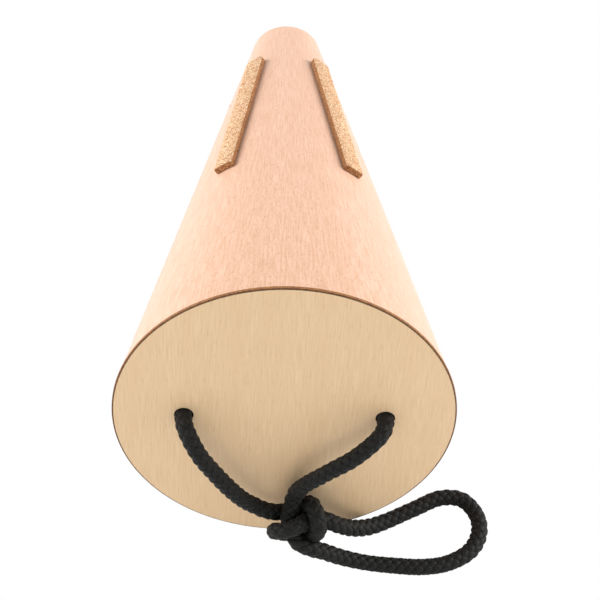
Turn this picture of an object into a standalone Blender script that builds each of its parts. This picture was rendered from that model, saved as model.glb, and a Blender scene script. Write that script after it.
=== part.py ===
import math

import bmesh
import bpy
import numpy as np
from mathutils import Vector

for ob in list(bpy.data.objects):
    bpy.data.objects.remove(ob, do_unlink=True)

# Driving sizes in metres. Everything else follows from these.
base_radius = 0.058
cone_length = 0.2114
half_angle = math.radians(11.81)
wall = 0.0015
disc_thickness = 0.0012
hoop_depth = 0.006
hoop_width = 0.004
rim_chamfer = 0.0006
cork_width = 0.0075
cork_height = 0.0024
cork_corner = 0.0005
cork_start = 0.0922
cork_end = 0.1798
cork_count = 5
cord_radius = 0.003
knot_radius = 0.00213
knot_taper = 0.007
hole_left = (-0.0338, -0.00049)
hole_right = (0.0340, 0.00047)

# Clearances, one for each kind of joint.
glue_gap = 0.0003
cord_hole_gap = 0.0003
cord_end_gap = 0.0007

round_steps = 96
slope = math.tan(half_angle)
flat = math.cos(math.pi / round_steps)
tip_radius = base_radius - cone_length * slope
hole_radius = cord_radius + cord_hole_gap
shell_start = disc_thickness + glue_gap


def cone_radius(s):
    return base_radius - s * slope


# The mute lies on its rim and on the near end of the bottom cork strip.
rest_s = cork_start + cork_height * math.sin(half_angle)
rest_r = cone_radius(cork_start) + cork_height * math.cos(half_angle)
tilt = math.atan2(base_radius * flat - rest_r, rest_s - disc_thickness)
ct, st = math.cos(tilt), math.sin(tilt)
disc_z = disc_thickness * st + base_radius * flat * ct
mid_y = (cone_length * ct + tip_radius * flat * st - base_radius * flat * st) / 2


def place(x, s, up):
    """Axis frame (x right, s from the disc's outer face to the tip, up) to the part's frame."""
    return Vector((x, s * ct + up * st - mid_y, disc_z - s * st + up * ct))


def material(name, rgb, rough):
    mat = bpy.data.materials.new(name)
    mat.use_nodes = True
    bsdf = mat.node_tree.nodes["Principled BSDF"]
    bsdf.inputs["Base Color"].default_value = (*rgb, 1.0)
    bsdf.inputs["Roughness"].default_value = rough
    return mat


def new_object(name, bm, rgb, rough, smooth=False):
    bmesh.ops.recalc_face_normals(bm, faces=bm.faces)
    mesh = bpy.data.meshes.new(name)
    bm.to_mesh(mesh)
    bm.free()
    ob = bpy.data.objects.new(name, mesh)
    bpy.context.scene.collection.objects.link(ob)
    mesh.materials.append(material(name, rgb, rough))
    if smooth:
        for poly in mesh.polygons:
            poly.use_smooth = True
        mesh.set_sharp_from_angle(angle=math.radians(35))
    return ob


def ring_angle(i):
    """Half a step off the bottom, so that a flat facet lies on the table."""
    return -math.pi / 2 + (i + 0.5) * 2 * math.pi / round_steps


def turned(name, profile, rgb, rough, solid=False):
    """A body of revolution about the axis from (s, radius) points. A solid one is capped."""
    bm = bmesh.new()
    rings = []
    for i in range(round_steps):
        a = ring_angle(i)
        rings.append([bm.verts.new(place(r * math.cos(a), s, r * math.sin(a))) for s, r in profile])
    count = len(profile)
    for i in range(round_steps):
        here, after = rings[i], rings[(i + 1) % round_steps]
        for k in range(count - 1 if solid else count):
            n = (k + 1) % count
            bm.faces.new((here[k], here[n], after[n], after[k]))
    if solid:
        bm.faces.new([ring[0] for ring in rings])
        bm.faces.new([ring[-1] for ring in reversed(rings)])
    return new_object(name, bm, rgb, rough, smooth=True)


beech = (0.9, 0.69, 0.56)
birch = (0.75, 0.55, 0.34)
cork = (0.66, 0.42, 0.22)
black = (0.012, 0.012, 0.013)

wall_radial = wall / math.cos(half_angle)
turned("cone_shell", [
    (shell_start, cone_radius(shell_start)),
    (cone_length - rim_chamfer, cone_radius(cone_length - rim_chamfer)),
    (cone_length, tip_radius - rim_chamfer),
    (cone_length, tip_radius - wall_radial),
    (shell_start, cone_radius(shell_start) - wall_radial),
], beech, 0.55)

disc = turned("base_disc", [(0.0, base_radius), (disc_thickness, base_radius)], birch, 0.55, solid=True)
for tag, (hx, hu) in (("left", hole_left), ("right", hole_right)):
    bm = bmesh.new()
    near, far = [], []
    for i in range(32):
        a = i * 2 * math.pi / 32
        x, up = hx + hole_radius * math.cos(a), hu + hole_radius * math.sin(a)
        near.append(bm.verts.new(place(x, -0.004, up)))
        far.append(bm.verts.new(place(x, disc_thickness + 0.004, up)))
    for i in range(32):
        n = (i + 1) % 32
        bm.faces.new((near[i], near[n], far[n], far[i]))
    bm.faces.new(near)
    bm.faces.new(list(reversed(far)))
    cutter = new_object("hole_cutter_" + tag, bm, birch, 0.6)
    cutter.hide_render = True
    cutter.display_type = "WIRE"
    cut = disc.modifiers.new("cord hole " + tag, "BOOLEAN")
    cut.operation = "DIFFERENCE"
    cut.solver = "EXACT"
    cut.object = cutter

hoop_gap = (wall + glue_gap) / math.cos(half_angle)
hoop_end = shell_start + hoop_depth
turned("base_hoop", [
    (shell_start, cone_radius(shell_start) - hoop_gap),
    (hoop_end, cone_radius(hoop_end) - hoop_gap),
    (hoop_end, cone_radius(hoop_end) - hoop_gap - hoop_width),
    (shell_start, cone_radius(hoop_end) - hoop_gap - hoop_width),
], birch, 0.6)


def cork_strip(name, azimuth):
    """A strip with a hollowed underside that follows the cone and a flat outer face."""
    bm = bmesh.new()
    half = cork_width / 2
    c = cork_corner
    outline = [(half * k / 4, None) for k in range(-4, 5)]
    outline += [(half, cork_height - c), (half - 0.3 * c, cork_height - 0.3 * c), (half - c, cork_height)]
    outline += [(-t, n) for t, n in reversed(outline[-3:])]
    sections = []
    for s0 in (cork_start, cork_end):
        section = []
        for t, n in outline:
            lift = glue_gap if n is None else n
            s = s0 + lift * math.sin(half_angle)
            r = cone_radius(s0) + lift * math.cos(half_angle)
            if n is None:
                r = math.sqrt(r * r - t * t)
            x = r * math.cos(azimuth) - t * math.sin(azimuth)
            up = r * math.sin(azimuth) + t * math.cos(azimuth)
            section.append(bm.verts.new(place(x, s, up)))
        sections.append(section)
    a, b = sections
    for k in range(len(a)):
        n = (k + 1) % len(a)
        bm.faces.new((a[k], a[n], b[n], b[k]))
    bm.faces.new(list(reversed(a)))
    bm.faces.new(b)
    return new_object(name, bm, cork, 0.85)


cork_names = ["cork_strip_bottom", "cork_strip_right", "cork_strip_top_right", "cork_strip_top_left",
              "cork_strip_left"]
for i, name in enumerate(cork_names):
    azimuth = -math.pi / 2 + i * 2 * math.pi / cork_count
    cork_strip(name, azimuth)
    s0 = (cork_start + cork_end) / 2
    r = cone_radius(s0) + cork_height * math.cos(half_angle)
    face = place(r * math.cos(azimuth), s0 + cork_height * math.sin(half_angle), r * math.sin(azimuth))
    out = place(math.cos(azimuth) * math.cos(half_angle), math.sin(half_angle),
                math.sin(azimuth) * math.cos(half_angle)) - place(0, 0, 0)
    print(name, "outer face", [round(v, 5) for v in face], "normal", [round(v, 4) for v in out])

# The cord's route, millimetres from the point on the table under the disc's middle, read off the
# photo. x right, y away from the viewer, z up.
left_strand_mm = [(-32.9, -6.2, 57.3), (-28.6, -12.0, 51.6), (-22.7, -14.7, 43.3), (-16.5, -16.2, 34.6),
                  (-12.2, -15.9, 28.2)]
wrap_mm = [(-9.4, -15.1, 24.4), (-5.9, -15.3, 21.9), (-2.4, -14.8, 19.6), (1.1, -13.7, 17.9),
           (5.0, -12.8, 18.3), (8.5, -12.6, 21.4), (10.8, -15.1, 25.3), (12.6, -19.6, 25.4),
           (13.2, -22.5, 22.3), (12.3, -22.3, 18.2), (9.3, -20.1, 14.4), (5.5, -19.1, 12.7),
           (1.6, -19.2, 13.1), (-1.2, -20.2, 15.5), (-1.5, -21.9, 18.6), (0.3, -23.4, 21.4),
           (3.7, -23.4, 23.0), (7.2, -21.4, 22.7), (9.9, -18.2, 20.6), (15.0, -17.3, 19.6)]
loop_mm = [(19.9, -17.2, 16.2), (25.4, -15.3, 10.8), (31.7, -12.1, 6.2), (38.0, -8.3, 3.8),
           (48.3, -2.5, 3.1), (58.6, 2.6, 3.1), (66.2, 2.0, 3.1), (71.2, -4.5, 3.1), (71.6, -11.9, 3.1),
           (68.0, -18.9, 3.1), (60.0, -24.0, 3.1), (51.1, -25.8, 3.1), (41.2, -25.6, 3.1),
           (30.6, -25.3, 4.3), (21.6, -25.2, 7.6), (15.4, -25.6, 11.9)]
core_mm = [(11.0, -25.9, 14.5), (6.8, -24.7, 16.0), (4.3, -21.7, 17.8), (3.1, -18.3, 20.3),
           (3.8, -15.2, 24.0)]
right_strand_mm = [(5.3, -12.6, 28.6), (7.9, -14.3, 37.0), (15.4, -14.4, 45.8), (24.4, -12.3, 52.6),
                   (32.6, -6.6, 58.0)]


def route_point(p):
    return np.array([p[0] / 1000, p[1] / 1000 - mid_y, p[2] / 1000])


def through_hole(centre):
    """Straight along the hole's axis from behind the disc to just outside it."""
    x, up = centre
    return [np.array(place(x, s, up)) for s in (disc_thickness, -0.0002, -0.0022)]


def smooth_curve(points, steps=24):
    """Centripetal Catmull-Rom curve through the points."""
    pts = [2 * points[0] - points[1]] + list(points) + [2 * points[-1] - points[-2]]
    out = []
    for i in range(1, len(pts) - 2):
        p0, p1, p2, p3 = pts[i - 1:i + 3]
        t1 = math.sqrt(np.linalg.norm(p1 - p0))
        t2 = t1 + math.sqrt(np.linalg.norm(p2 - p1))
        t3 = t2 + math.sqrt(np.linalg.norm(p3 - p2))
        for k in range(steps):
            t = t1 + (t2 - t1) * k / steps
            a1 = (t1 - t) / t1 * p0 + t / t1 * p1
            a2 = (t2 - t) / (t2 - t1) * p1 + (t - t1) / (t2 - t1) * p2
            a3 = (t3 - t) / (t3 - t2) * p2 + (t - t2) / (t3 - t2) * p3
            b1 = (t2 - t) / t2 * a1 + t / t2 * a2
            b2 = (t3 - t) / (t3 - t1) * a2 + (t - t1) / (t3 - t1) * a3
            out.append((t2 - t) / (t2 - t1) * b1 + (t - t1) / (t2 - t1) * b2)
    out.append(points[-1])
    return np.array(out)


steps = 24
sections = [through_hole(hole_left) + [route_point(p) for p in left_strand_mm],
            [route_point(p) for p in wrap_mm],
            [route_point(p) for p in loop_mm],
            [route_point(p) for p in core_mm],
            [route_point(p) for p in right_strand_mm] + through_hole(hole_right)[::-1]]
starts = np.cumsum([0] + [len(sec) for sec in sections])
route = smooth_curve([p for sec in sections for p in sec], steps)
along = np.concatenate([[0], np.cumsum(np.linalg.norm(np.diff(route, axis=0), axis=1))])
cuts = [along[min(k * steps, len(route) - 1)] for k in starts]
wrap_from, loop_from, core_from, strand_from = cuts[1], cuts[2] - 0.003, cuts[3], cuts[4]
whole = along[-1]


def ramp(v, low, high):
    u = min(1.0, max(0.0, (v - low) / (high - low)))
    return u * u * (3 - 2 * u)


def tube_radius(v):
    """Full cord outside the knot, drawn in where it is pulled tight."""
    first = ramp(v, wrap_from - knot_taper, wrap_from) * (1 - ramp(v, loop_from, loop_from + knot_taper))
    second = ramp(v, core_from - knot_taper, core_from) * (1 - ramp(v, strand_from, strand_from + knot_taper))
    return cord_radius - (cord_radius - knot_radius) * max(first, second)


def at(v):
    return np.array([np.interp(v, along, route[:, k]) for k in range(3)])


def tube(name, points, radii, closed=False):
    data = bpy.data.curves.new(name, "CURVE")
    data.dimensions = "3D"
    data.bevel_depth = cord_radius
    data.bevel_resolution = 3
    data.use_fill_caps = not closed
    spline = data.splines.new("POLY")
    spline.points.add(len(points) - 1)
    for point, p, r in zip(spline.points, points, radii):
        point.co = (*p, 1.0)
        point.radius = r / cord_radius
    spline.use_cyclic_u = closed
    spline.use_smooth = True
    ob = bpy.data.objects.new(name, data)
    bpy.context.scene.collection.objects.link(ob)
    data.materials.append(material(name, black, 0.8))
    return ob


def cord_piece(name, begin, end, count):
    values = np.linspace(begin, end, count)
    tube(name, [at(v) for v in values], [tube_radius(v) for v in values])


half_gap = cord_end_gap / 2
cord_piece("cord_left_strand", 0.0, wrap_from - half_gap, 40)
cord_piece("cord_knot", wrap_from + half_gap, loop_from - half_gap, 80)
cord_piece("cord_loop", loop_from + half_gap, core_from - half_gap, 80)
cord_piece("cord_right_strand", core_from + half_gap, whole, 60)

# Small overhand lumps behind the disc, each one tube that closes on itself.
knot_turn = 0.0031
knot_rise = 0.0032
stopper_radius = 0.0024
for tag, (hx, hu) in (("left", hole_left), ("right", hole_right)):
    middle = disc_thickness + glue_gap + knot_rise + stopper_radius
    points = []
    for i in range(72):
        a = 2 * math.pi * i / 72
        x = knot_turn * (math.sin(a) + 2 * math.sin(2 * a))
        up = knot_turn * (math.cos(a) - 2 * math.cos(2 * a))
        points.append(place(hx + x, middle - knot_rise * math.sin(3 * a), hu + up))
    tube("stopper_knot_" + tag, points, [stopper_radius] * len(points), closed=True)

sample = np.linspace(0, whole, 900)
spots = np.array([at(v) for v in sample])
rads = np.array([tube_radius(v) for v in sample])
least = (9.0, 0, 0)
for i in range(len(sample)):
    j = np.nonzero(sample > sample[i] + 0.011)[0]
    if len(j):
        gap = np.linalg.norm(spots[j] - spots[i], axis=1) - rads[j] - rads[i]
        k = int(np.argmin(gap))
        if gap[k] < least[0]:
            least = (gap[k], sample[i], sample[j[k]])
print("least gap between turns of the cord %.2f mm, at %.0f and %.0f mm" % tuple(1000 * v for v in least))
print("cord length outside %.1f mm, lowest point %.2f mm" % (1000 * whole, 1000 * (spots[:, 2] - rads).min()))
print("knot from %.0f to %.0f mm, core from %.0f to %.0f mm" % tuple(
    1000 * v for v in (wrap_from, loop_from, core_from, strand_from)))
print("tilt %.3f deg, disc centre z %.2f mm, mid y %.2f mm, tip radius %.2f mm" % (
    math.degrees(tilt), disc_z * 1000, mid_y * 1000, tip_radius * 1000))
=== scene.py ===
import math

import bmesh
import bpy
import numpy as np
from mathutils import Matrix, Vector


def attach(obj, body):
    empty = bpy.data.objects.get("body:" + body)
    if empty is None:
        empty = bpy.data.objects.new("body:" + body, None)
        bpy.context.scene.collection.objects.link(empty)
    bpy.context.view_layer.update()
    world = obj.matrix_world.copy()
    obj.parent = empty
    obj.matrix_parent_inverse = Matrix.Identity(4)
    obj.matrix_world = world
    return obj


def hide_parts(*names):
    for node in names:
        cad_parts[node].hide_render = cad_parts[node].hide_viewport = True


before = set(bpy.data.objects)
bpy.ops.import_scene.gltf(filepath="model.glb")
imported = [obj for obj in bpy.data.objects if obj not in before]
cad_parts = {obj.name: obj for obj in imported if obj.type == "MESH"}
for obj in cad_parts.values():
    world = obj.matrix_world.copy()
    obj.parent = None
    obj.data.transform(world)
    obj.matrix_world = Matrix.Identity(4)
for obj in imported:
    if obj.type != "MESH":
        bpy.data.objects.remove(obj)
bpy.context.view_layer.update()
print("frame loaded")

# Sizes shared by the pieces, in metres, the same as in the part's source.
baseRadius = 0.058
coneLength = 0.2114
halfAngle = math.radians(11.81)
discThickness = 0.0012
glueGap = 0.0003
cadSteps = 96  # sides of the CAD's rim, which rests on the flat of one of them
corkSizes = dict(
    width=0.0075,
    height=0.0024,
    start=0.0922,
    end=0.1798,
    corner=0.00045,
    names=["bottom", "right", "top_right", "top_left", "left"],
)

# The mute lies on its rim and on the near end of the bottom cork strip.
slope = math.tan(halfAngle)
tipRadius = baseRadius - coneLength * slope
flat = math.cos(math.pi / cadSteps)
restS = corkSizes["start"] + corkSizes["height"] * math.sin(halfAngle)
restR = baseRadius - corkSizes["start"] * slope + corkSizes["height"] * math.cos(halfAngle)
tilt = math.atan2(baseRadius * flat - restR, restS - discThickness)
ct = math.cos(tilt)
st = math.sin(tilt)
discZ = discThickness * st + baseRadius * flat * ct
midY = (coneLength * ct + tipRadius * flat * st - baseRadius * flat * st) / 2


def coneRadius(s):
    return baseRadius - s * slope


# x is to the right, s runs from the disc's outer face to the tip, and up is square to both.
def place(x, s, up):
    return Vector((x, s * ct + up * st - midY, discZ - s * st + up * ct))


# sRGB hex to linear.
def linear(hexCode):
    out = []
    for k in (0, 2, 4):
        c = int(hexCode[k:k + 2], 16) / 255
        out.append(c / 12.92 if c <= 0.04045 else ((c + 0.055) / 1.055) ** 2.4)
    return (*out, 1.0)


def grey(v):
    return (v, v, v, 1.0)


# Adds a node with its settings, and gives each input a value or a link. Stops are for a colour ramp.
def addNode(tree, kind, inputs=(), stops=(), **settings):
    node = tree.nodes.new(kind)
    for key, value in settings.items():
        setattr(node, key, value)
    for key, value in dict(inputs).items():
        if isinstance(value, bpy.types.NodeSocket):
            tree.links.new(value, node.inputs[key])
        else:
            node.inputs[key].default_value = value
    if stops:
        band = node.color_ramp
        while len(band.elements) < len(stops):
            band.elements.new(0.5)
        for element, (position, colour) in zip(band.elements, stops):
            element.position = position
            element.color = colour
    return node


perMetre = 1000  # patterns are sized in millimetres
colourA, colourB, colourOut = 6, 7, 2  # a Mix node's sockets for colours


def newMaterial(name, **finish):
    mat = bpy.data.materials.new(name)
    mat.use_nodes = True
    tree = mat.node_tree
    shader = tree.nodes["Principled BSDF"]
    for key, value in finish.items():
        shader.inputs[key].default_value = value
    return mat, tree, shader


# Layers of grain on a piece's UV map. A grain is (scale along it against across, width in mm, detail).
def woodGrain(tree, grains):
    uv = addNode(tree, "ShaderNodeTexCoord").outputs["UV"]
    layers = []
    for along, width, detail in grains:
        drawn = addNode(tree, "ShaderNodeMapping", {
            "Vector": uv, "Scale": (perMetre, perMetre * along, perMetre)})
        layers.append(addNode(tree, "ShaderNodeTexNoise", {
            "Vector": drawn.outputs["Vector"], "Scale": 1 / width, "Detail": detail,
            "Roughness": 0.55}).outputs["Fac"])
    return layers


# A ground of two tones along the first grain, with a stain laid over it along each other grain.
def stainedWood(tree, shader, grains, tones, stains):
    first, *others = woodGrain(tree, grains)
    colour = addNode(tree, "ShaderNodeValToRGB", {"Fac": first}, tones).outputs["Color"]
    for layer, (stops, stain) in zip(others, stains):
        share = addNode(tree, "ShaderNodeValToRGB", {"Fac": layer}, stops).outputs["Color"]
        colour = addNode(tree, "ShaderNodeMix", {0: share, colourA: colour, colourB: linear(stain)},
                         data_type="RGBA").outputs[colourOut]
    tree.links.new(colour, shader.inputs["Base Color"])
    return first


# One speckle of that width in mm, in the object's own space, coloured by the stops.
def speckled(tree, shader, width, stops, detail=3.0, rough=0.55):
    own = addNode(tree, "ShaderNodeTexCoord").outputs["Object"]
    scaled = addNode(tree, "ShaderNodeMapping", {"Vector": own, "Scale": (perMetre, perMetre, perMetre)})
    speckle = addNode(tree, "ShaderNodeTexNoise", {
        "Vector": scaled.outputs["Vector"], "Scale": 1 / width, "Detail": detail,
        "Roughness": rough}).outputs["Fac"]
    colour = addNode(tree, "ShaderNodeValToRGB", {"Fac": speckle}, stops).outputs["Color"]
    tree.links.new(colour, shader.inputs["Base Color"])
    return speckle


# Beech veneer, sanded and left satin. It gives a pale pink ground with short darker ray flecks that all
# run along the cone, and the sanded fuzz pales it where it is seen at a slant.
def beechVeneer():
    mat, tree, shader = newMaterial("beech veneer, sanded", **{
        "Roughness": 0.48, "IOR": 1.5, "Sheen Weight": 0.45, "Sheen Roughness": 0.35})
    streak = stainedWood(
        tree, shader, [(0.05, 0.5, 3.0), (0.02, 9.0, 3.0), (0.16, 0.34, 1.0)],
        [(0.34, linear("d4a382")), (0.62, linear("e4bba0"))],
        [([(0.35, grey(0.0)), (0.7, grey(0.35))], "d29f7d"),
         ([(0.55, grey(0.0)), (0.72, grey(0.5))], "b87f5b")])
    relief = addNode(tree, "ShaderNodeBump", {"Strength": 0.5, "Distance": 0.00006, "Height": streak})
    tree.links.new(relief.outputs["Normal"], shader.inputs["Normal"])
    return mat


# The same beech on the narrow rim, rounded by sanding across the grain, which gives a warmer tone.
def beechRim():
    mat, tree, shader = newMaterial("beech end grain, sanded round", Roughness=0.6)
    speckled(tree, shader, 0.35, [(0.35, linear("c8906a")), (0.65, linear("d9aa86"))])
    return mat


# Birch plywood face, sanded. It gives a golden tan with fine upright lines and faint wide bands.
def birchPly():
    mat, tree, shader = newMaterial("birch ply face, sanded", Roughness=0.5)
    fineLine = stainedWood(
        tree, shader, [(0.03, 0.36, 3.0), (0.03, 7.0, 2.0), (0.09, 0.4, 1.0)],
        [(0.32, linear("d5b58c")), (0.66, linear("e3c59e"))],
        [([(0.35, grey(0.0)), (0.7, grey(0.5))], "d8b68b"),
         ([(0.62, grey(0.0)), (0.72, grey(0.3))], "c0925f")])
    relief = addNode(tree, "ShaderNodeBump", {"Strength": 0.5, "Distance": 0.00005, "Height": fineLine})
    tree.links.new(relief.outputs["Normal"], shader.inputs["Normal"])
    return mat


# The ply's corner as a laser leaves it, charred dark brown and matte.
def charredPly():
    mat, tree, shader = newMaterial("ply edge, laser charred", Roughness=0.8)
    speckled(tree, shader, 0.9, [(0.35, linear("4d2f18")), (0.7, linear("744a27"))])
    return mat


# The side of the thin disc, scorched less than its corner, a reddish brown.
def scorchedPly():
    mat, tree, shader = newMaterial("ply edge, scorched", Roughness=0.75)
    speckled(tree, shader, 0.9, [(0.35, linear("7d4f2c")), (0.7, linear("a8743f"))])
    return mat


# Agglomerated cork, knife cut. Granules of under 1 mm differ in tone, with dark pits between them.
def cutCork():
    granule = 0.75
    mat, tree, shader = newMaterial("agglomerated cork, cut", Roughness=0.9)
    own = addNode(tree, "ShaderNodeTexCoord").outputs["Object"]
    where = addNode(tree, "ShaderNodeMapping", {
        "Vector": own, "Scale": (perMetre, perMetre, perMetre)}).outputs["Vector"]
    cells = addNode(tree, "ShaderNodeTexVoronoi", {"Vector": where, "Scale": 1 / granule})
    split = addNode(tree, "ShaderNodeSeparateColor", {"Color": cells.outputs["Color"]})
    tone = addNode(tree, "ShaderNodeValToRGB", {"Fac": split.outputs["Red"]}, [
        (0.0, linear("cd9867")), (0.35, linear("e8bc90")), (1.0, linear("f6dab6"))]).outputs["Color"]
    pits = addNode(tree, "ShaderNodeTexNoise", {
        "Vector": where, "Scale": 1 / 0.42, "Detail": 3.0, "Roughness": 0.6}).outputs["Fac"]
    pitted = addNode(tree, "ShaderNodeValToRGB", {"Fac": pits}, [
        (0.4, grey(0.9)), (0.5, grey(0.0))]).outputs["Color"]
    tone = addNode(tree, "ShaderNodeMix", {0: pitted, colourA: tone, colourB: linear("7a431f")},
                   data_type="RGBA").outputs[colourOut]
    seam = addNode(tree, "ShaderNodeTexVoronoi", {"Vector": where, "Scale": 1 / granule},
                   feature="DISTANCE_TO_EDGE")
    seams = addNode(tree, "ShaderNodeValToRGB", {"Fac": seam.outputs["Distance"]}, [
        (0.0, grey(0.6)), (0.1, grey(0.0))]).outputs["Color"]
    tone = addNode(tree, "ShaderNodeMix", {0: seams, colourA: tone, colourB: linear("8f5529")},
                   data_type="RGBA").outputs[colourOut]
    tree.links.new(tone, shader.inputs["Base Color"])
    relief = addNode(tree, "ShaderNodeBump", {"Strength": 0.6, "Distance": 0.0004, "Height": pits})
    tree.links.new(relief.outputs["Normal"], shader.inputs["Normal"])
    return mat


# The same cork on the sawn sides and ends. Its colour is painted a darker brown as shade, because these
# faces turn from the light. The open granules give its speckle and bump.
def shadedSawnCork():
    mat, tree, shader = newMaterial("agglomerated cork, sawn side in painted shade", Roughness=0.95)
    holes = speckled(tree, shader, 0.5, [
        (0.36, linear("5d351b")), (0.5, linear("9c673d")), (0.66, linear("c08b5b"))], rough=0.6)
    relief = addNode(tree, "ShaderNodeBump", {"Strength": 0.7, "Distance": 0.0005, "Height": holes})
    tree.links.new(relief.outputs["Normal"], shader.inputs["Normal"])
    return mat


# Black polyester braid. Its filaments give a faint sheen along each strand on a near black ground.
def blackBraid():
    mat, tree, shader = newMaterial("black polyester braid", **{
        "Roughness": 0.62, "Specular IOR Level": 0.22, "Sheen Weight": 0.04, "Sheen Roughness": 0.4})
    fibre = speckled(tree, shader, 0.16, [(0.3, linear("090908")), (0.75, linear("141311"))], detail=2.0)
    relief = addNode(tree, "ShaderNodeBump", {"Strength": 0.5, "Distance": 0.00012, "Height": fibre})
    tree.links.new(relief.outputs["Normal"], shader.inputs["Normal"])
    return mat


beech, rimWood, birch, char, plyEdge = beechVeneer(), beechRim(), birchPly(), charredPly(), scorchedPly()
corkFace, corkSideShaded, cordBlack = cutCork(), shadedSawnCork(), blackBraid()
print("materials made")


def addObject(name, bm, materials, smooth=True, angle=40):
    mesh = bpy.data.meshes.new(name)
    bm.to_mesh(mesh)
    bm.free()
    for mat in materials:
        mesh.materials.append(mat)
    for poly in mesh.polygons:
        poly.use_smooth = smooth
    if smooth:
        mesh.set_sharp_from_angle(angle=math.radians(angle))
    ob = bpy.data.objects.new(name, mesh)
    bpy.context.scene.collection.objects.link(ob)
    return ob


# Points of a rounded corner between its neighbours before and after, in the (s, radius) plane.
def fillet(corner, before, after, radius, steps=4):
    corner, before, after = (np.array(v, float) for v in (corner, before, after))
    u = (before - corner) / np.linalg.norm(before - corner)
    v = (after - corner) / np.linalg.norm(after - corner)
    half = math.acos(max(-1, min(1, float(u @ v)))) / 2
    reach = radius / math.tan(half)
    a = corner + u * reach
    b = corner + v * reach
    centre = corner + (u + v) / np.linalg.norm(u + v) * radius / math.sin(half)
    out = []
    for k in range(steps + 1):
        p = a + (b - a) * k / steps - centre
        out.append(tuple(centre + p / np.linalg.norm(p) * radius))
    return out


roundSteps = 256
uvRadius = 0.036  # the cone's mean radius, where its grain has the true width


# A body turned about the axis, with a material slot for each stretch of its profile. A capped one is
# solid. The UVs run round and along the axis, and across a cap.
def turned(name, profile, slots, materials, capped=False):
    bm = bmesh.new()
    uv = bm.loops.layers.uv.new("UVMap")
    arc = 2 * math.pi / roundSteps * uvRadius
    rings = []
    for i in range(roundSteps):
        a = -math.pi / 2 + (i + 0.5) * 2 * math.pi / roundSteps
        rings.append([bm.verts.new(place(r * math.cos(a), s, r * math.sin(a))) for s, r in profile])
    for i in range(roundSteps):
        here, after = rings[i], rings[(i + 1) % roundSteps]
        for k, slot in enumerate(slots):
            n = (k + 1) % len(profile)
            face = bm.faces.new((here[k], here[n], after[n], after[k]))
            face.material_index = slot
            for loop, (p, q) in zip(face.loops, ((i, k), (i, n), (i + 1, n), (i + 1, k))):
                loop[uv].uv = (p * arc, profile[q][0])
    if capped:
        for end in (0, -1):
            face = bm.faces.new([ring[end] for ring in rings])
            for loop in face.loops:
                d = loop.vert.co - place(0, 0, 0)
                loop[uv].uv = (d.x, d.y * st + d.z * ct)
    bmesh.ops.recalc_face_normals(bm, faces=bm.faces)
    return addObject(name, bm, materials)


# The rolled cone, open at its narrow end, where both edges of the rim are sanded round.
coneSizes = dict(
    wall=0.0015,
    outerRound=0.00065,
    innerRound=0.0005,
    rimDepth=0.0009,
    straightTo=0.0015,
    rows=24,
)


def cone():
    start = discThickness + glueGap
    wallRadial = coneSizes["wall"] / math.cos(halfAngle)
    outerStart = (start, coneRadius(start))
    tipOuter = (coneLength, tipRadius)
    tipInner = (coneLength, tipRadius - wallRadial)
    innerStart = (start, coneRadius(start) - wallRadial)
    straight = np.linspace(start, coneLength - coneSizes["straightTo"], coneSizes["rows"])
    profile = [outerStart]
    profile += [(s, coneRadius(s)) for s in straight[1:]]
    profile += fillet(tipOuter, outerStart, tipInner, coneSizes["outerRound"])
    profile += fillet(tipInner, tipOuter, innerStart, coneSizes["innerRound"])
    profile += [innerStart]
    rimFrom = coneLength - coneSizes["rimDepth"]
    slots = [int(min(a[0], b[0]) > rimFrom) for a, b in zip(profile, profile[1:] + profile[:1])]
    return turned("cone_veneer", profile, slots, [beech, rimWood])


coneBody = cone()
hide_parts("cone_shell")
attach(coneBody, "root")

# The disc, with a charred band round its face that is worn over the edge: (depth, share of the band).
discSizes = dict(
    charred=0.00055,
    worn=[(0.0, 1.0), (0.00004, 0.6), (0.00016, 0.25), (0.0003, 0.0)],
    holeLeft=(-0.0338, -0.00049),
    holeRight=(0.0340, 0.00047),
    holeRadius=0.0033,
    drillLength=0.01,
)


def drilled(plate, centre):
    bm = bmesh.new()
    middle = place(centre[0], discThickness / 2, centre[1])
    turn = Matrix.Translation(middle) @ Matrix.Rotation(math.pi / 2 - tilt, 4, "X")
    radius = discSizes["holeRadius"]
    bmesh.ops.create_cone(bm, cap_ends=True, segments=64, radius1=radius, radius2=radius,
                          depth=discSizes["drillLength"], matrix=turn)
    cutter = addObject("drill", bm, [char], smooth=False)
    cut = plate.modifiers.new("hole", "BOOLEAN")
    cut.operation = "DIFFERENCE"
    cut.solver = "EXACT"
    cut.material_mode = "TRANSFER"
    cut.object = cutter
    cutPlate = plate.evaluated_get(bpy.context.evaluated_depsgraph_get())
    holed = bpy.data.meshes.new_from_object(cutPlate)
    plate.modifiers.remove(cut)
    plate.data = holed
    bpy.data.objects.remove(cutter, do_unlink=True)


discProfile = [(depth, baseRadius - share * discSizes["charred"]) for depth, share in discSizes["worn"]]
discProfile += [(discThickness, baseRadius)]
discSlots = [1] * (len(discProfile) - 2) + [2]
plate = turned("disc_ply", discProfile, discSlots, [birch, char, plyEdge], capped=True)
drilled(plate, discSizes["holeLeft"])
drilled(plate, discSizes["holeRight"])
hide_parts("base_disc")
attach(plate, "root")
print("cone and disc made")


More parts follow.
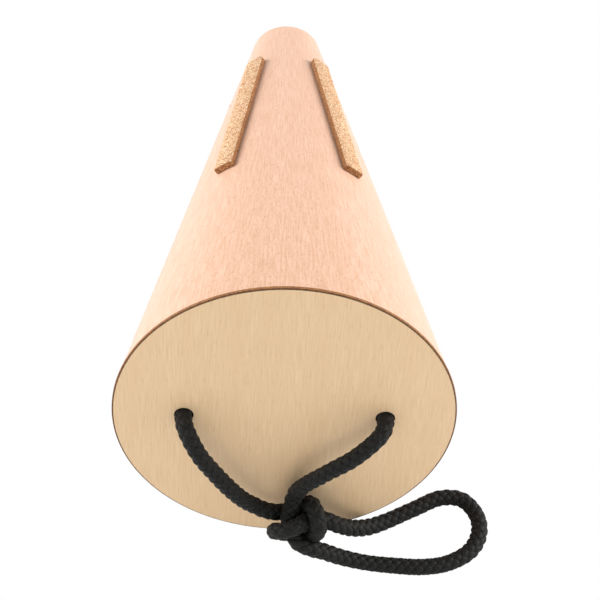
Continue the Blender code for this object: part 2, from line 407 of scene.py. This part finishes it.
# A cork strip, hollowed underneath to follow the cone and flat outside. The near end is barely eased,
# and the last 1 mm at the narrow end is drawn in, where its corners are worn round.
def corkStrip(name, azimuth):
    bm = bmesh.new()
    half = corkSizes["width"] / 2
    height = corkSizes["height"]
    corner = corkSizes["corner"]
    length = corkSizes["end"] - corkSizes["start"]
    underside = [(half * k / 4, None) for k in range(-4, 5)]
    eased = 0.3 * corner
    shoulder = [(half, height - corner), (half - eased, height - eased), (half - corner, height)]
    outline = underside + shoulder + [(-a, n) for a, n in reversed(shoulder)]
    outerFaces = range(len(underside), len(outline) - 1)
    # Each row is a distance along the strip and the share of its width there.
    rows = [(0.0, 0.9), (0.0002, 1.0), (length * 0.5, 1.0), (length - 0.001, 1.0),
            (length - 0.0004, 0.93), (length, 0.8)]
    sections = []
    for s0, narrow in rows:
        section = []
        for a, n in outline:
            lift = glueGap if n is None else n
            a = a * narrow
            s = corkSizes["start"] + s0 + lift * math.sin(halfAngle)
            r = coneRadius(corkSizes["start"] + s0) + lift * math.cos(halfAngle)
            if n is None:
                r = math.sqrt(r * r - a * a)
            x = r * math.cos(azimuth) - a * math.sin(azimuth)
            up = r * math.sin(azimuth) + a * math.cos(azimuth)
            section.append(bm.verts.new(place(x, s, up)))
        sections.append(section)
    for a, b in zip(sections, sections[1:]):
        for k in range(len(a)):
            n = (k + 1) % len(a)
            face = bm.faces.new((a[k], a[n], b[n], b[k]))
            # The top and its shoulders take the cut cork. The sides, underside and ends take the cork with
            # painted shade.
            face.material_index = 0 if k in outerFaces else 1
    for end in (list(reversed(sections[0])), sections[-1]):
        bm.faces.new(end).material_index = 1
    bmesh.ops.recalc_face_normals(bm, faces=bm.faces)
    return addObject("cork_" + name, bm, [corkFace, corkSideShaded], angle=50)


for i, name in enumerate(corkSizes["names"]):
    strip = corkStrip(name, -math.pi / 2 + i * 2 * math.pi / len(corkSizes["names"]))
    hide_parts("cork_strip_" + name)
    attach(strip, "root")
print("corks made")

# The cord's route in millimetres from the point on the table under the disc's middle. The knot's points,
# wrap and core, began as points set by hand, and a scratch program then spaced them apart.
leftStrand = [(-32.9, -6.2, 57.3), (-28.6, -12.0, 51.6), (-22.7, -14.7, 43.3), (-16.5, -16.2, 34.6),
              (-12.2, -15.9, 28.2)]
wrap = [(-9.4, -15.1, 24.4), (-5.9, -15.3, 21.9), (-2.4, -14.8, 19.6), (1.1, -13.7, 17.9),
        (5.0, -12.8, 18.3), (8.5, -12.6, 21.4), (10.8, -15.1, 25.3), (12.6, -19.6, 25.4),
        (13.2, -22.5, 22.3), (12.3, -22.3, 18.2), (9.3, -20.1, 14.4), (5.5, -19.1, 12.7),
        (1.6, -19.2, 13.1), (-1.2, -20.2, 15.5), (-1.5, -21.9, 18.6), (0.3, -23.4, 21.4),
        (3.7, -23.4, 23.0), (7.2, -21.4, 22.7), (9.9, -18.2, 20.6), (15.0, -17.3, 19.6)]
loop = [(19.9, -17.2, 16.2), (25.4, -15.3, 10.8), (31.7, -12.1, 6.2), (38.0, -8.3, 3.8),
        (48.3, -2.5, 3.1), (58.6, 2.6, 3.1), (66.2, 2.0, 3.1), (71.2, -4.5, 3.1), (71.6, -11.9, 3.1),
        (68.0, -18.9, 3.1), (60.0, -24.0, 3.1), (51.1, -25.8, 3.1), (41.2, -25.6, 3.1),
        (30.6, -25.3, 4.3), (21.6, -25.2, 7.6), (15.4, -25.6, 11.9)]
core = [(11.0, -25.9, 14.5), (6.8, -24.7, 16.0), (4.3, -21.7, 17.8), (3.1, -18.3, 20.3), (3.8, -15.2, 24.0)]
rightStrand = [(5.3, -12.6, 28.6), (7.9, -14.3, 37.0), (15.4, -14.4, 45.8), (24.4, -12.3, 52.6),
               (32.6, -6.6, 58.0)]
cordSizes = dict(
    radius=0.003,
    knotRadius=0.0031,
    knotTaper=0.007,
    knotEndsBefore=0.003,
    holeStops=(discThickness, -0.0002, -0.0022),  # along a hole's axis, from behind the disc to outside it
    unevenness=[(0.02, 0.011, 0.4), (0.015, 0.0047, 0.0)],  # share of the radius, metres a radian, start
    step=0.0003,
    routeSteps=24,
)
braidSizes = {
    "Strands each way": 4,
    "Pitch": 0.0128,
    "Lay radius": 0.0021,
    "Wave": 0.00032,
    "Half thickness": 0.0006,
    "Half width": 0.00126,
    "Core radius": 0.00222,
    "Step": cordSizes["step"],
    "Drift": 0.0007,
    "Drift pace": 59.0,
}


def routePoint(p):
    return np.array([p[0] / 1000, p[1] / 1000 - midY, p[2] / 1000])


def throughHole(centre):
    return [np.array(place(centre[0], s, centre[1])) for s in cordSizes["holeStops"]]


# A centripetal Catmull-Rom curve through the points.
def smoothCurve(points, steps):
    pts = [2 * points[0] - points[1]] + list(points) + [2 * points[-1] - points[-2]]
    out = []
    for i in range(1, len(pts) - 2):
        p0, p1, p2, p3 = pts[i - 1:i + 3]
        t1 = math.sqrt(np.linalg.norm(p1 - p0))
        t2 = t1 + math.sqrt(np.linalg.norm(p2 - p1))
        t3 = t2 + math.sqrt(np.linalg.norm(p3 - p2))
        for k in range(steps):
            t = t1 + (t2 - t1) * k / steps
            a1 = (t1 - t) / t1 * p0 + t / t1 * p1
            a2 = (t2 - t) / (t2 - t1) * p1 + (t - t1) / (t2 - t1) * p2
            a3 = (t3 - t) / (t3 - t2) * p2 + (t - t2) / (t3 - t2) * p3
            b1 = (t2 - t) / t2 * a1 + t / t2 * a2
            b2 = (t3 - t) / (t3 - t1) * a2 + (t - t1) / (t3 - t1) * a3
            out.append((t2 - t) / (t2 - t1) * b1 + (t - t1) / (t2 - t1) * b2)
    out.append(points[-1])
    return np.array(out)


def ease(v, low, high):
    u = np.clip((v - low) / (high - low), 0, 1)
    return u * u * (3 - 2 * u)


stretches = [
    throughHole(discSizes["holeLeft"]) + [routePoint(p) for p in leftStrand],
    [routePoint(p) for p in wrap],
    [routePoint(p) for p in loop],
    [routePoint(p) for p in core],
    [routePoint(p) for p in rightStrand] + throughHole(discSizes["holeRight"])[::-1],
]
starts = np.cumsum([0] + [len(stretch) for stretch in stretches])
routeSteps = cordSizes["routeSteps"]
coarse = smoothCurve([p for stretch in stretches for p in stretch], routeSteps)
distance = np.concatenate([[0], np.cumsum(np.linalg.norm(np.diff(coarse, axis=0), axis=1))])
wrapFrom, loopFrom, coreFrom, strandFrom = (distance[routeSteps * k] for k in starts[1:5])
cordLength = float(distance[-1])
stations = np.arange(0, cordLength, cordSizes["step"])
line = np.stack([np.interp(stations, distance, coarse[:, k]) for k in range(3)], axis=1)

# The cord is a little fuller in the knot, where it is squeezed, and a soft braid is never quite even.
taper = cordSizes["knotTaper"]
wrapTo = loopFrom - cordSizes["knotEndsBefore"]
inWrap = ease(stations, wrapFrom - taper, wrapFrom) * (1 - ease(stations, wrapTo, wrapTo + taper))
inCore = ease(stations, coreFrom - taper, coreFrom) * (1 - ease(stations, strandFrom, strandFrom + taper))
radii = cordSizes["radius"] - (cordSizes["radius"] - cordSizes["knotRadius"]) * np.maximum(inWrap, inCore)
waves = [share * np.sin(stations / metres + start) for share, metres, start in cordSizes["unevenness"]]
radii = radii * sum(waves, 1)


# A straight braid round a core is carried onto the route by its length along it. The strands turn both
# ways, and each swings out and in so that it passes over one strand and under the next.
def braidTree():
    tree = bpy.data.node_groups.new("braid along a route", "GeometryNodeTree")
    face = tree.interface
    face.new_socket("Geometry", in_out="INPUT", socket_type="NodeSocketGeometry")
    face.new_socket("Geometry", in_out="OUTPUT", socket_type="NodeSocketGeometry")
    for name, value in braidSizes.items():
        kind = "NodeSocketInt" if isinstance(value, int) else "NodeSocketFloat"
        face.new_socket(name, in_out="INPUT", socket_type=kind)
    face.new_socket("Material", in_out="INPUT", socket_type="NodeSocketMaterial")
    given = tree.nodes.new("NodeGroupInput").outputs
    path = given["Geometry"]
    point = addNode(tree, "GeometryNodeInputPosition").outputs[0]
    spot = addNode(tree, "ShaderNodeSeparateXYZ", {0: point}).outputs

    # Each row is a result's name, an operation, and its terms: numbers, or names of what is known.
    known = {name: given[name] for name in braidSizes}
    known["z"] = spot["Z"]
    known["index"] = addNode(tree, "GeometryNodeInputIndex").outputs[0]
    fullTurn = 2 * math.pi
    shared = [
        ("turn", "DIVIDE", fullTurn, "Pitch"),
        ("driftAngle", "MULTIPLY", "z", "Drift pace"),
        ("driftSine", "SINE", "driftAngle"),
        ("offset", "MULTIPLY", "driftSine", "Drift"),
        ("laid", "ADD", "z", "offset"),
        ("laidTurn", "MULTIPLY", "laid", "turn"),
        ("waveAngle", "MULTIPLY", "laidTurn", "Strands each way"),
        ("wave", "COSINE", "waveAngle"),
        ("swing", "MULTIPLY", "wave", "Wave"),
        ("share", "DIVIDE", fullTurn, "Strands each way"),
        ("spin", "MULTIPLY", "index", "share"),
    ]
    for name, operation, *terms in shared:
        inputs = {k: known.get(term, term) for k, term in enumerate(terms)}
        known[name] = addNode(tree, "ShaderNodeMath", inputs, operation=operation).outputs[0]

    ring = addNode(tree, "GeometryNodeCurvePrimitiveCircle", {"Resolution": 10, "Radius": 1.0})
    ovalSize = addNode(tree, "ShaderNodeCombineXYZ", {
        "X": given["Half thickness"], "Y": given["Half width"], "Z": 1.0}).outputs[0]
    oval = addNode(tree, "GeometryNodeTransform", {
        "Geometry": ring.outputs["Curve"], "Scale": ovalSize}).outputs[0]
    long = addNode(tree, "GeometryNodeCurveLength", {"Curve": path}).outputs[0]
    end = addNode(tree, "ShaderNodeCombineXYZ", {"X": 0.0, "Y": 0.0, "Z": long}).outputs[0]
    outward = addNode(tree, "ShaderNodeCombineXYZ", {"X": spot["X"], "Y": spot["Y"], "Z": 0.0}).outputs[0]
    spin = addNode(tree, "ShaderNodeCombineXYZ", {"X": 0.0, "Y": 0.0, "Z": known["spin"]}).outputs[0]
    strands = addNode(tree, "GeometryNodeJoinGeometry")
    for way in (1.0, -1.0):
        helixRows = [
            ("angle", "MULTIPLY", "laidTurn", way),
            ("swingOut", "MULTIPLY", "swing", way),
            ("reach", "ADD", "Lay radius", "swingOut"),
            ("cosine", "COSINE", "angle"),
            ("sine", "SINE", "angle"),
            ("helixX", "MULTIPLY", "cosine", "reach"),
            ("helixY", "MULTIPLY", "sine", "reach"),
        ]
        for name, operation, *terms in helixRows:
            inputs = {k: known.get(term, term) for k, term in enumerate(terms)}
            known[name] = addNode(tree, "ShaderNodeMath", inputs, operation=operation).outputs[0]
        straight = addNode(tree, "GeometryNodeCurvePrimitiveLine", {"End": end}).outputs[0]
        fine = addNode(tree, "GeometryNodeResampleCurve", {"Curve": straight, "Length": given["Step"]},
                       mode="LENGTH").outputs[0]
        onHelix = addNode(tree, "ShaderNodeCombineXYZ", {
            "X": known["helixX"], "Y": known["helixY"], "Z": spot["Z"]}).outputs[0]
        helix = addNode(tree, "GeometryNodeSetPosition", {"Geometry": fine, "Position": onHelix}).outputs[0]
        faced = addNode(tree, "GeometryNodeSetCurveNormal", {"Curve": helix, "Normal": outward},
                        mode="FREE").outputs[0]
        strand = addNode(tree, "GeometryNodeCurveToMesh", {
            "Curve": faced, "Profile Curve": oval, "Fill Caps": True}).outputs[0]
        points = addNode(tree, "GeometryNodePoints", {"Count": given["Strands each way"]}).outputs[0]
        copies = addNode(tree, "GeometryNodeInstanceOnPoints", {
            "Points": points, "Instance": strand, "Rotation": spin}).outputs[0]
        real = addNode(tree, "GeometryNodeRealizeInstances", {"Geometry": copies}).outputs[0]
        tree.links.new(real, strands.inputs[0])

    # The route's own frame at each point of the straight braid, which its x and y are measured along.
    width = addNode(tree, "GeometryNodeInputRadius").outputs[0]
    there = addNode(tree, "GeometryNodeSampleCurve", {"Curves": path, "Value": width, "Length": spot["Z"]},
                    mode="LENGTH").outputs
    side = addNode(tree, "ShaderNodeVectorMath", {0: there["Tangent"], 1: there["Normal"]},
                   operation="CROSS_PRODUCT").outputs[0]
    shifts = []
    for across, axis in ((there["Normal"], "X"), (side, "Y")):
        amount = addNode(tree, "ShaderNodeMath", {0: spot[axis], 1: there["Value"]},
                         operation="MULTIPLY").outputs[0]
        shifts.append(addNode(tree, "ShaderNodeVectorMath", {0: across, "Scale": amount},
                              operation="SCALE").outputs[0])
    shift = addNode(tree, "ShaderNodeVectorMath", {0: shifts[0], 1: shifts[1]}, operation="ADD").outputs[0]
    moved = addNode(tree, "ShaderNodeVectorMath", {0: there["Position"], 1: shift},
                    operation="ADD").outputs[0]
    bent = addNode(tree, "GeometryNodeSetPosition", {
        "Geometry": strands.outputs[0], "Position": moved}).outputs[0]
    coreRing = addNode(tree, "GeometryNodeCurvePrimitiveCircle", {
        "Resolution": 16, "Radius": given["Core radius"]})
    inner = addNode(tree, "GeometryNodeCurveToMesh", {
        "Curve": path, "Profile Curve": coreRing.outputs["Curve"], "Fill Caps": True}).outputs[0]
    whole = addNode(tree, "GeometryNodeJoinGeometry")
    tree.links.new(bent, whole.inputs[0])
    tree.links.new(inner, whole.inputs[0])
    smooth = addNode(tree, "GeometryNodeSetShadeSmooth", {"Geometry": whole.outputs[0]}).outputs[0]
    painted = addNode(tree, "GeometryNodeSetMaterial", {
        "Geometry": smooth, "Material": given["Material"]}).outputs[0]
    addNode(tree, "NodeGroupOutput", {0: painted})
    return tree


def cord():
    data = bpy.data.curves.new("cord_route", "CURVE")
    data.dimensions = "3D"
    spline = data.splines.new("POLY")
    spline.points.add(len(line) - 1)
    spline.points.foreach_set("co", np.column_stack([line, np.ones(len(line))]).ravel().tolist())
    spline.points.foreach_set("radius", (radii / cordSizes["radius"]).tolist())
    guide = bpy.data.objects.new("cord_route", data)
    bpy.context.scene.collection.objects.link(guide)
    braid = guide.modifiers.new("braid", "NODES")
    braid.node_group = braidTree()
    values = dict(braidSizes, Material=cordBlack)
    for item in braid.node_group.interface.items_tree:
        if item.in_out == "INPUT" and item.name in values:
            braid[item.identifier] = values[item.name]
    guide.update_tag()
    bpy.context.view_layer.update()
    mesh = bpy.data.meshes.new_from_object(guide.evaluated_get(bpy.context.evaluated_depsgraph_get()))
    mesh.name = "cord_braid"
    bpy.data.objects.remove(guide, do_unlink=True)
    ob = bpy.data.objects.new("cord_braid", mesh)
    bpy.context.scene.collection.objects.link(ob)
    return ob


cordPiece = cord()
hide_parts("cord_left_strand", "cord_knot", "cord_loop", "cord_right_strand")
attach(cordPiece, "root")

# The pieces inside the disc are the CAD's own, in the finishes made above.
finishes = dict(stopper_knot_left=cordBlack, stopper_knot_right=cordBlack, base_hoop=birch)
for name, finish in finishes.items():
    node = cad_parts[name]
    node.data.materials.clear()
    node.data.materials.append(finish)
print("cord made, %.1f mm long, %d faces" % (cordLength * 1000, len(cordPiece.data.polygons)))


# A table that lights the mute from below. The camera sees it as pure white, so no shadow shows on it.
def whiteTable():
    mat, tree, shader = newMaterial("white table", **{"Base Color": grey(0.8), "Roughness": 1.0})
    seen = addNode(tree, "ShaderNodeLightPath").outputs["Is Camera Ray"]
    glow = addNode(tree, "ShaderNodeEmission", {"Color": grey(1.0), "Strength": 1.0}).outputs["Emission"]
    choose = addNode(tree, "ShaderNodeMixShader", {"Fac": seen, 1: shader.outputs["BSDF"], 2: glow})
    output = next(n for n in tree.nodes if n.type == "OUTPUT_MATERIAL")
    tree.links.new(choose.outputs["Shader"], output.inputs["Surface"])
    bm = bmesh.new()
    bmesh.ops.create_grid(bm, x_segments=1, y_segments=1, size=4.0)
    return addObject("table", bm, [mat], smooth=False)


floor = whiteTable()

# Soft boxes round the mute: (name, place, size, watts). The two at the sides burn out the cone's flanks.
studio = dict(
    worldStrength=0.45,
    aim=(0, 0, 0.03),
    lamps=[
        ("overhead softbox", (0.0, 0.15, 0.9), (0.9, 0.9), 0.7),
        ("front softbox", (0.0, -1.0, 0.45), (0.9, 0.5), 3.4),
        ("left softbox", (-0.9, 0.1, 0.4), (0.7, 0.7), 11.5),
        ("right softbox", (0.9, 0.1, 0.4), (0.7, 0.7), 12.0),
    ],
)
scene = bpy.context.scene
world = bpy.data.worlds.new("studio")
scene.world = world
world.use_nodes = True
background = world.node_tree.nodes["Background"]
background.inputs["Color"].default_value = grey(1.0)
background.inputs["Strength"].default_value = studio["worldStrength"]
for name, spot, size, power in studio["lamps"]:
    data = bpy.data.lights.new(name, "AREA")
    data.shape = "RECTANGLE"
    data.size, data.size_y = size
    data.energy = power
    lamp = bpy.data.objects.new(name, data)
    lamp.location = spot
    lamp.rotation_euler = (Vector(studio["aim"]) - Vector(spot)).to_track_quat("-Z", "Y").to_euler()
    scene.collection.objects.link(lamp)

# The photo's camera, as fitted to it: its place from the point under the disc's middle, in metres.
photoCamera = dict(
    x=-0.01558,
    y=-0.34707,
    z=0.58125,
    forward=(0.03128, 0.60301, -0.79712),
    right=(0.99904, 0.00564, 0.04347),
    lens=111.94,
    sensor=36.0,
    nearest=0.01,
)
cameraData = bpy.data.cameras.new("photo camera")
cameraData.lens = photoCamera["lens"]
cameraData.sensor_width = photoCamera["sensor"]
cameraData.clip_start = photoCamera["nearest"]
camera = bpy.data.objects.new("photo camera", cameraData)
forward = Vector(photoCamera["forward"]).normalized()
right = Vector(photoCamera["right"])
right = (right - forward * right.dot(forward)).normalized()
turn = Matrix((right, right.cross(forward), -forward)).transposed().to_4x4()
cameraPlace = (photoCamera["x"], photoCamera["y"] - midY, photoCamera["z"])
camera.matrix_world = Matrix.Translation(cameraPlace) @ turn
scene.collection.objects.link(camera)
scene.camera = camera
scene.view_settings.view_transform = "Standard"
print("stage and lights made")
